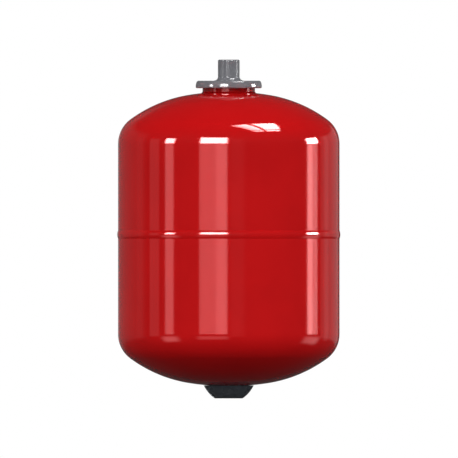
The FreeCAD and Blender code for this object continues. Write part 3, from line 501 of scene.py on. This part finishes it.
# the rim's side swells a little towards its foot, where it was crimped in
corner_z = flange_high.z - RIM_TOP_R
foot_z = flange_low.z + RIM_FOOT_R
side_x = flange_high.x - RIM_SIDE_R
corner_x = side_x + ((RIM_SIDE_R - RIM_TOP_R) ** 2 - (corner_z - foot_z) ** 2) ** 0.5
lean = atan2(corner_z - foot_z, corner_x - side_x) * 180 / pi
plate_under = flange_high.z - PLATE
cavity_bend = RIM_TOP_R - PLATE
rim = Outline(PLATE_HOLE_R, flange_high.z)
rim.line(corner_x, flange_high.z)
rim.arc(corner_x, corner_z, 90 - lean, 10)
rim.arc(side_x, foot_z, lean, 10)
rim.arc(flange_high.x - RIM_FOOT_R, foot_z, 90, 10)
rim.line(CRIMP_R + EDGE, flange_low.z)
rim.arc(CRIMP_R + EDGE, flange_low.z + EDGE, 90, 4)
rim.line(CRIMP_R, flange_low.z + PLATE)
rim.line(CAVITY_R, flange_low.z + PLATE)
rim.line(CAVITY_R, plate_under - cavity_bend)
rim.arc(CAVITY_R - cavity_bend, plate_under - cavity_bend, -90, 6)
rim.line(PLATE_HOLE_R, plate_under)
rim.line(PLATE_HOLE_R, flange_high.z)
crimped_flange = rim.spin("crimped_flange")
bpy.ops.object.shade_smooth_by_angle(angle=SHARP_CORNER)
place_piece(crimped_flange, GREY_COAT, "grey_flange", "vessel", "flange")


# ---------------------------------------------------------------- connection stub
# Turned steel nipple for the heating pipe. Its root passes through the flange, and a smooth hollow
# weld closes the joint.

stub_low, stub_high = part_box("connection_nipple")
BORE_R = 9.5 * MM
BORE_CHAMFER = 0.8 * MM
STUB_CHAMFER = 1.2 * MM
ROOT_R = 13 * MM
FLARE_R = 4.6 * MM
FLARE_TOE = 0.3 * MM
STUB_STEPS = 128

stub_r = stub_high.x
stub = Outline(BORE_R, stub_low.z)
stub.line(BORE_R, stub_high.z - BORE_CHAMFER)
stub.line(BORE_R + BORE_CHAMFER, stub_high.z)
stub.line(stub_r - STUB_CHAMFER, stub_high.z)
stub.line(stub_r, stub_high.z - STUB_CHAMFER)
stub.line(stub_r, stub_high.z - STUB_CHAMFER - ROW_GUARD)
stub.line(stub_r, ROW_GUARD)
stub.line(stub_r, 0)
stub.line(ROOT_R, 0)
stub.line(ROOT_R, stub_low.z)
stub.line(BORE_R, stub_low.z)
pipe_stub = stub.spin("pipe_stub", STUB_STEPS)
bevel = pipe_stub.modifiers.new("edges", "BEVEL")
bevel.width = EDGE
bevel.segments = 3
bevel.limit_method = "ANGLE"
bevel.angle_limit = radians(30)
bpy.ops.object.modifier_apply(modifier=bevel.name)
bpy.ops.object.shade_smooth_by_angle(angle=SHARP_CORNER)
place_piece(pipe_stub, GREY_COAT, "grey_flange", "vessel", "connection_nipple")

flare_low, flare_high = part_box("nipple_weld")
flare = Outline(ROOT_R, flare_low.z)
flare.line(ROOT_R, flare_high.z)
flare.line(stub_r, flare_high.z)
flare.hollow(flare_high.x, flare_low.z + FLARE_TOE, FLARE_R, 10)
flare.line(flare_high.x, flare_low.z)
flare.line(ROOT_R, flare_low.z)
stub_weld = flare.spin("stub_weld", STUB_STEPS)
bpy.ops.object.shade_smooth_by_angle(angle=SHARP_CORNER)
place_piece(stub_weld, GREY_COAT, "grey_flange", "vessel", "nipple_weld")


# ---------------------------------------------------------------- bladder
# Moulded butyl rubber bag that holds the water. It hangs from its lip, which the flange clamps, and
# swells downwards as it fills. A bloom of talc from the mould is left on it.

RUBBER = (0.018, 0.018, 0.019, 1)
RUBBER_TALC = (0.075, 0.074, 0.072, 1)
TALC_PATCH = 22 * MM
BAG_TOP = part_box("bladder")[1].z
BAG_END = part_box("bladder")[0].z
BAG_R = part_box("bladder")[1].x
BAG_WALL = 1.8 * MM
LIP_THICK = 3 * MM
BAG_LIP_R = 38 * MM
BAG_NECK_R = 29.9 * MM
BAG_NECK = 22 * MM
THROAT_R = 12 * MM
BAG_SHOULDER_R = 44 * MM
BAG_BOTTOM_R = 60 * MM
LIP_BEND = 2.6 * MM
BAG_ROWS = 12
BAG_FOLDS = 9
FOLD_DEPTH = 0.9 * MM
FOLD_TWIST = 30
BAG_CORNER = radians(40)
BAG_STEPS = 180


def moulded_rubber(name, dark, pale, size):
    """Rubber as it leaves the mould, with a bloom of talc in patches."""
    rubber = Finish(name)
    bloom = rubber.speckle(rubber.place, size, 5.0, 0.6)
    grain = rubber.speckle(rubber.place, size / 18, 2.0)
    return rubber.shade(
        Base_Color=rubber.mix(rubber.step(bloom, 0.45, 0.75), dark, pale),
        Roughness=0.6 + bloom * 0.25,
        Normal=rubber.bump(grain, size / 600),
    )


throat_z = BAG_TOP - LIP_THICK - BAG_NECK
top_z = throat_z - THROAT_R
shoulder_x = BAG_R - BAG_SHOULDER_R
shoulder_z = top_z - BAG_SHOULDER_R
bottom_x = BAG_R - BAG_BOTTOM_R
bottom_z = BAG_END + BAG_BOTTOM_R
bag = Outline(BAG_LIP_R, BAG_TOP)
bag.line(BAG_LIP_R, BAG_TOP - LIP_THICK)
bag.line(BAG_NECK_R + LIP_BEND, BAG_TOP - LIP_THICK)
bag.arc(BAG_NECK_R + LIP_BEND, BAG_TOP - LIP_THICK - LIP_BEND, -90, 6)
bag.line(BAG_NECK_R, throat_z)
bag.arc(BAG_NECK_R + THROAT_R, throat_z, -90, 8)
bag.line(shoulder_x, top_z)
bag.arc(shoulder_x, shoulder_z, 90, 14)
for share in range(1, BAG_ROWS + 1):
    bag.line(BAG_R, shoulder_z + (bottom_z - shoulder_z) * share / BAG_ROWS)
bag.arc(bottom_x, bottom_z, 90, 16)
bag.line(0, BAG_END)
bag.line(0, BAG_END + BAG_WALL)
bag.line(bottom_x, BAG_END + BAG_WALL)
bag.arc(bottom_x, bottom_z, -90, 16)
for share in range(1, BAG_ROWS + 1):
    bag.line(BAG_R - BAG_WALL, bottom_z + (shoulder_z - bottom_z) * share / BAG_ROWS)
bag.arc(shoulder_x, shoulder_z, -90, 14)
bag.line(BAG_NECK_R + THROAT_R, top_z - BAG_WALL)
bag.arc(BAG_NECK_R + THROAT_R, throat_z, 90, 8)
bag.line(BAG_NECK_R - BAG_WALL, BAG_TOP)
bag.line(BAG_LIP_R, BAG_TOP)
water_bag = bag.spin("water_bag", BAG_STEPS)

# the empty bag is slack, so it pulls in a little between soft folds that twist as they run down
for vertex in water_bag.data.vertices:
    turn = atan2(vertex.co.y, vertex.co.x)
    radius = hypot(vertex.co.x, vertex.co.y)
    slack = min(1, max(0, (shoulder_z + BAG_SHOULDER_R / 2 - vertex.co.z) / BAG_SHOULDER_R))
    slack *= min(1, radius / BAG_BOTTOM_R)
    draw_in = FOLD_DEPTH * slack * (1 - cos(BAG_FOLDS * turn + FOLD_TWIST * vertex.co.z)) / 2
    if radius > 0:
        vertex.co.xy *= 1 - draw_in / radius
bpy.ops.object.shade_smooth_by_angle(angle=BAG_CORNER)
bag_rubber = moulded_rubber("bag_rubber", RUBBER, RUBBER_TALC, TALC_PATCH)
place_piece(water_bag, bag_rubber, "butyl_rubber", None, "bladder")
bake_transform(water_bag)


# ---------------------------------------------------------------- air valve
# Standard car-type charging valve: a nickel-plated brass body screwed into the socket on a gasket,
# with a screwed core of bare brass inside it.

NICKEL = (0.62, 0.60, 0.55, 1)
NICKEL_DULL = (0.45, 0.43, 0.39, 1)
BRASS = (0.78, 0.55, 0.25, 1)
BRASS_DULL = (0.55, 0.37, 0.16, 1)
BLACK_RUBBER = (0.016, 0.016, 0.016, 1)
BLACK_RUBBER_WORN = (0.04, 0.04, 0.04, 1)


def turned_metal(name, bright, dull, size):
    """Machined metal with tool rings, and tarnish in patches of this size."""
    metal = Finish(name)
    tarnish = metal.speckle(metal.place, size, 4.0, 0.6)
    rings = metal.lathe_lines(size / 12)
    return metal.shade(
        Base_Color=metal.mix(metal.step(tarnish, 0.4, 0.7), bright, dull),
        Metallic=1.0,
        Roughness=0.16 + tarnish * 0.16 + rings * 0.06,
        Normal=metal.bump(rings, size / 1200),
    )


NICKEL_PLATE = turned_metal("nickel_plate", NICKEL, NICKEL_DULL, 2.4 * MM)
TURNED_BRASS = turned_metal("turned_brass", BRASS, BRASS_DULL, 2.0 * MM)
SEAL_RUBBER = moulded_rubber("seal_rubber", BLACK_RUBBER, BLACK_RUBBER_WORN, 3 * MM)
for name in ("valve_body", "valve_pin"):
    nodes[name].material_slots[0].material = NICKEL_PLATE
for name in ("core_head", "core_barrel", "dust_cap"):
    nodes[name].material_slots[0].material = TURNED_BRASS
for name in ("valve_gasket", "pin_seat", "cap_seal"):
    nodes[name].material_slots[0].material = SEAL_RUBBER


# ---------------------------------------------------------------- core seal
# Small cone of white fluoropolymer, moulded on the core's barrel. It is squeezed against a seat in the
# valve as the core is screwed in.

SEAL_WHITE = (0.74, 0.72, 0.67, 1)
SEAL_CREAM = (0.62, 0.59, 0.53, 1)
SEAL_CLOUD = 0.8 * MM
SEAL_WAVE = 0.004 * MM


def fluoropolymer():
    """Waxy white plastic, a little cloudy."""
    seal = Finish("core_seal_plastic")
    cloud = seal.speckle(seal.place, SEAL_CLOUD, 3.0)
    return seal.shade(
        Base_Color=seal.mix(cloud, SEAL_WHITE, SEAL_CREAM),
        Roughness=0.38 + cloud * 0.12,
        Normal=seal.bump(cloud, SEAL_WAVE),
    )


nodes["core_seal"].material_slots[0].material = fluoropolymer()


# ---------------------------------------------------------------- core spring
# Coil of round spring steel wire between the barrel's floor and the pin's collar. It closes up as the
# pin is pressed.

SPRING_WIRE = 0.3 * MM
SPRING_TURNS = 5
WIRE_SIDES = 10
TURN_STEPS = 40
WIRE_BRIGHT = (0.42, 0.42, 0.43, 1)
WIRE_DULL = (0.25, 0.25, 0.26, 1)
spring_low, spring_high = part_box("core_spring")
bpy.ops.object.select_all(action="DESELECT")
coil_r = spring_high.x - SPRING_WIRE / 2
coil_start = (coil_r, 0, spring_low.z + SPRING_WIRE / 2)
bpy.ops.mesh.primitive_circle_add(
    vertices=WIRE_SIDES, radius=SPRING_WIRE / 2, location=coil_start, rotation=(pi / 2, 0, 0)
)
bpy.ops.object.transform_apply(location=True, rotation=True, scale=True)
coil = bpy.context.object
coil.name = "valve_spring"
screw = coil.modifiers.new("coil", "SCREW")
screw.iterations = SPRING_TURNS
screw.screw_offset = (spring_high.z - spring_low.z - SPRING_WIRE) / SPRING_TURNS
screw.steps = TURN_STEPS
screw.render_steps = TURN_STEPS
screw.use_merge_vertices = False
bpy.ops.object.modifier_apply(modifier=screw.name)
bpy.ops.object.mode_set(mode="EDIT")
bpy.ops.mesh.select_all(action="DESELECT")
bpy.ops.mesh.select_non_manifold()
bpy.ops.mesh.fill_holes(sides=0)
bpy.ops.mesh.select_all(action="SELECT")
bpy.ops.mesh.normals_make_consistent(inside=False)
bpy.ops.object.mode_set(mode="OBJECT")
bpy.ops.object.shade_smooth_by_angle(angle=SOFT_CORNER)
spring_steel = turned_metal("drawn_wire", WIRE_BRIGHT, WIRE_DULL, 0.6 * MM)
place_piece(coil, spring_steel, "spring_steel", None, "core_spring")
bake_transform(coil)


# ---------------------------------------------------------------- protective cover
# Injection-moulded black cap that pushes onto the valve socket. Its skin has the fine texture of a
# spark-eroded mould, and is rubbed a little paler and shinier in patches.

PLASTIC = (0.058, 0.065, 0.077, 1)
PLASTIC_RUBBED = (0.070, 0.079, 0.092, 1)
MOULD_TEXTURE = 0.5 * MM
TEXTURE_DEPTH = 0.005 * MM
RUBBED_PATCH = 12 * MM


def moulded_plastic():
    """Black plastic with the mould's texture, rubbed smoother in patches."""
    skin = Finish("black_plastic")
    texture = skin.speckle(skin.place, MOULD_TEXTURE, 3.0, 0.7)
    rubbed = skin.step(skin.speckle(skin.place, RUBBED_PATCH, 3.0), 0.42, 0.7)
    return skin.shade(
        Base_Color=skin.mix(rubbed, PLASTIC, PLASTIC_RUBBED),
        Roughness=0.30 - rubbed * 0.08,
        Normal=skin.bump(texture, TEXTURE_DEPTH),
    )


nodes["protective_cover"].material_slots[0].material = moulded_plastic()


# ---------------------------------------------------------------- studio
# Pale floor below the hanging vessel, in a white surround. A soft sky lights the pieces, and lamps and a
# roof window are mirrored in their gloss.

FLOOR_DROP = 90 * MM
FLOOR_SIZE = 6.0
PAPER = (0.86, 0.86, 0.86, 1)
PAPER_SHADE = (0.82, 0.82, 0.82, 1)
PAPER_FIBRE = 40 * MM

bpy.ops.object.select_all(action="DESELECT")
floor_z = cad_box[0].z - FLOOR_DROP
bpy.ops.mesh.primitive_plane_add(size=FLOOR_SIZE, location=(0, 0, floor_z))
floor = bpy.context.object
floor.name = "floor"
# the floor is not mirrored in the gloss and throws no light back at the vessel
floor.visible_glossy = False
floor.visible_diffuse = False
paper = Finish("paper_floor")
fibre = paper.speckle(paper.place, PAPER_FIBRE, 3.0)
paper_colour = paper.mix(fibre, PAPER, PAPER_SHADE)
floor.data.materials.append(paper.shade(Base_Color=paper_colour, Roughness=0.9))

# the soft sky: its strength at the horizon, overhead and from below, and the heights between which it
# begins, as sines
SKY_LOW = 2.15
SKY_TOP = 0.54
GROUND = 0.11
HORIZON = -0.02, 0.12
# the sides where the sky is dimmer: the degrees over which it dims, and by how much
DIM_LEFT = (-185, -150), (-60, -95), 0.6
DIM_RIGHT = (60, 100), 0.35

# Each lamp: where it starts and ends round the vessel, counted from the front to the right, and above
# the horizon, and how far its edges fade, all in degrees, and how bright it is.
LAMPS = (
    # upright box on the left, its dim skirt at the horizon and its image in the bench
    (-70, -59, 2.5, 17, 3, 26),
    (-70, -60, -1.5, 2, 2, 1.6),
    (-74, -56, -24, -8, 10, 1.7),
    # wide box in front, with two skirts and its image
    (-30, -1.5, 2.5, 23, 3, 30),
    (-31, -1.5, -1.5, 2, 1, 1.35),
    (-13, -2, -1.5, 2, 5, 1.0),
    (-33, -1, -20, -8, 7, 0.9),
    # box on the right, a little behind, with two skirts and its image
    (90, 107, 1.5, 14, 2, 45),
    (90, 106, -1.5, 2, 2, 1.8),
    (91, 98, -1.5, 2, 2, 2.2),
    (88, 110, -24, -7, 10, 1.4),
    # pale walls of the room
    (-91, -78, -6, 14, 2, 0.34),
    (-112, -102, -8, 14, 2, 0.05),
    (-170, -99, -10, 24, 10, 0.10),
    (-200, -164, -2, 4, 6, 0.2),
    (119, 128, -12, 14, 2, 0.18),
    (112, 162, -8, 14, 5, 0.24),
    (2, 16, -10, 20, 5, 0.12),
)
DARK_ROOM = 0.015
DARK_ROOM_LOW = 0.04

# The roof window lies across the corner of the room. Its edges and its two bars are measured in a plane
# at unit height above the vessel, along and across that diagonal.
WINDOW = (0.25, 1.0), (-0.20, 0.43)
BARS = (0.80, 0.86), (0.03, 0.10)
PANE_FADE = 0.03
BAR_FADE = 0.02
PANE_POWER = 26
PANE_DIMMER = -0.45, 0.1
DIAGONAL = 0.707
LOWEST_VIEW = 0.02


def studio_light():
    """A world that the camera sees as white, matt surfaces as a soft sky and gloss as the lamps."""
    world = bpy.data.worlds.new("studio")
    bpy.context.scene.world = world
    world.use_nodes = True
    world.cycles.sampling_method = "NONE"
    light = Nodes(world.node_tree)
    east, north, up = light.parts(light.node("ShaderNodeTexCoord"))
    turn = east.maths("ARCTAN2", east, north * -1.0) * (180 / pi)
    rise = up.maths("ARCSINE", up) * (180 / pi)
    level = 1 - up * up

    def band(value, low, high, fade):
        """1 between two bounds and 0 past them, with soft edges this wide."""
        rising = light.step(value, low - fade / 2, low + fade / 2)
        return rising * light.step(value, high + fade / 2, high - fade / 2)

    left_start, left_end, left_dimming = DIM_LEFT
    right_start, right_dimming = DIM_RIGHT
    shade = 1 - light.step(turn, *left_start) * light.step(turn, *left_end) * left_dimming
    shade = shade * (1 - light.step(turn, *right_start) * right_dimming)
    soft = light.step(up, *HORIZON) * shade * (SKY_TOP + level * level * SKY_LOW) + GROUND

    gloss = DARK_ROOM + level * level * level * DARK_ROOM_LOW
    for left, right, low, high, fade, power in LAMPS:
        gloss = gloss + band(turn, left, right, fade) * band(rise, low, high, fade) * power
    height = up.maths("MAXIMUM", up, LOWEST_VIEW)
    along = (east - north) * DIAGONAL / height
    across = (east + north) * DIAGONAL / height
    window = band(along, *WINDOW[0], PANE_FADE) * band(across, *WINDOW[1], PANE_FADE)
    window = window * (1 - band(along, *BARS[0], BAR_FADE)) * (1 - band(across, *BARS[1], BAR_FADE))
    gloss = gloss + window * light.step(across, *PANE_DIMMER) * PANE_POWER

    is_camera = light.node("ShaderNodeLightPath", None, None, "Is Camera Ray")
    is_diffuse = light.node("ShaderNodeLightPath", None, None, "Is Diffuse Ray")
    strength = is_camera + (1 - is_camera) * (is_diffuse * soft + (1 - is_diffuse) * gloss)
    glow = light.node("ShaderNodeBackground", None, {"Color": (1, 1, 1, 1), "Strength": strength})
    light.node("ShaderNodeOutputWorld", None, {"Surface": glow})


studio_light()
bpy.context.scene.view_settings.view_transform = "Standard"


# ---------------------------------------------------------------- camera
# Level with the middle of the vessel. It sees without perspective, so the sides stay parallel.

VIEW_SIZE = 0.5583
CAMERA_SIDE = 0.3 * MM
CAMERA_FAR = 3.0
bpy.ops.object.select_all(action="DESELECT")
middle = (cad_box[0] + cad_box[1]) / 2
bpy.ops.object.camera_add(
    location=(CAMERA_SIDE, -CAMERA_FAR, middle.z), rotation=(pi / 2, 0, 0)
)
camera = bpy.context.object
camera.data.type = "ORTHO"
camera.data.ortho_scale = VIEW_SIZE
bpy.context.scene.camera = camera
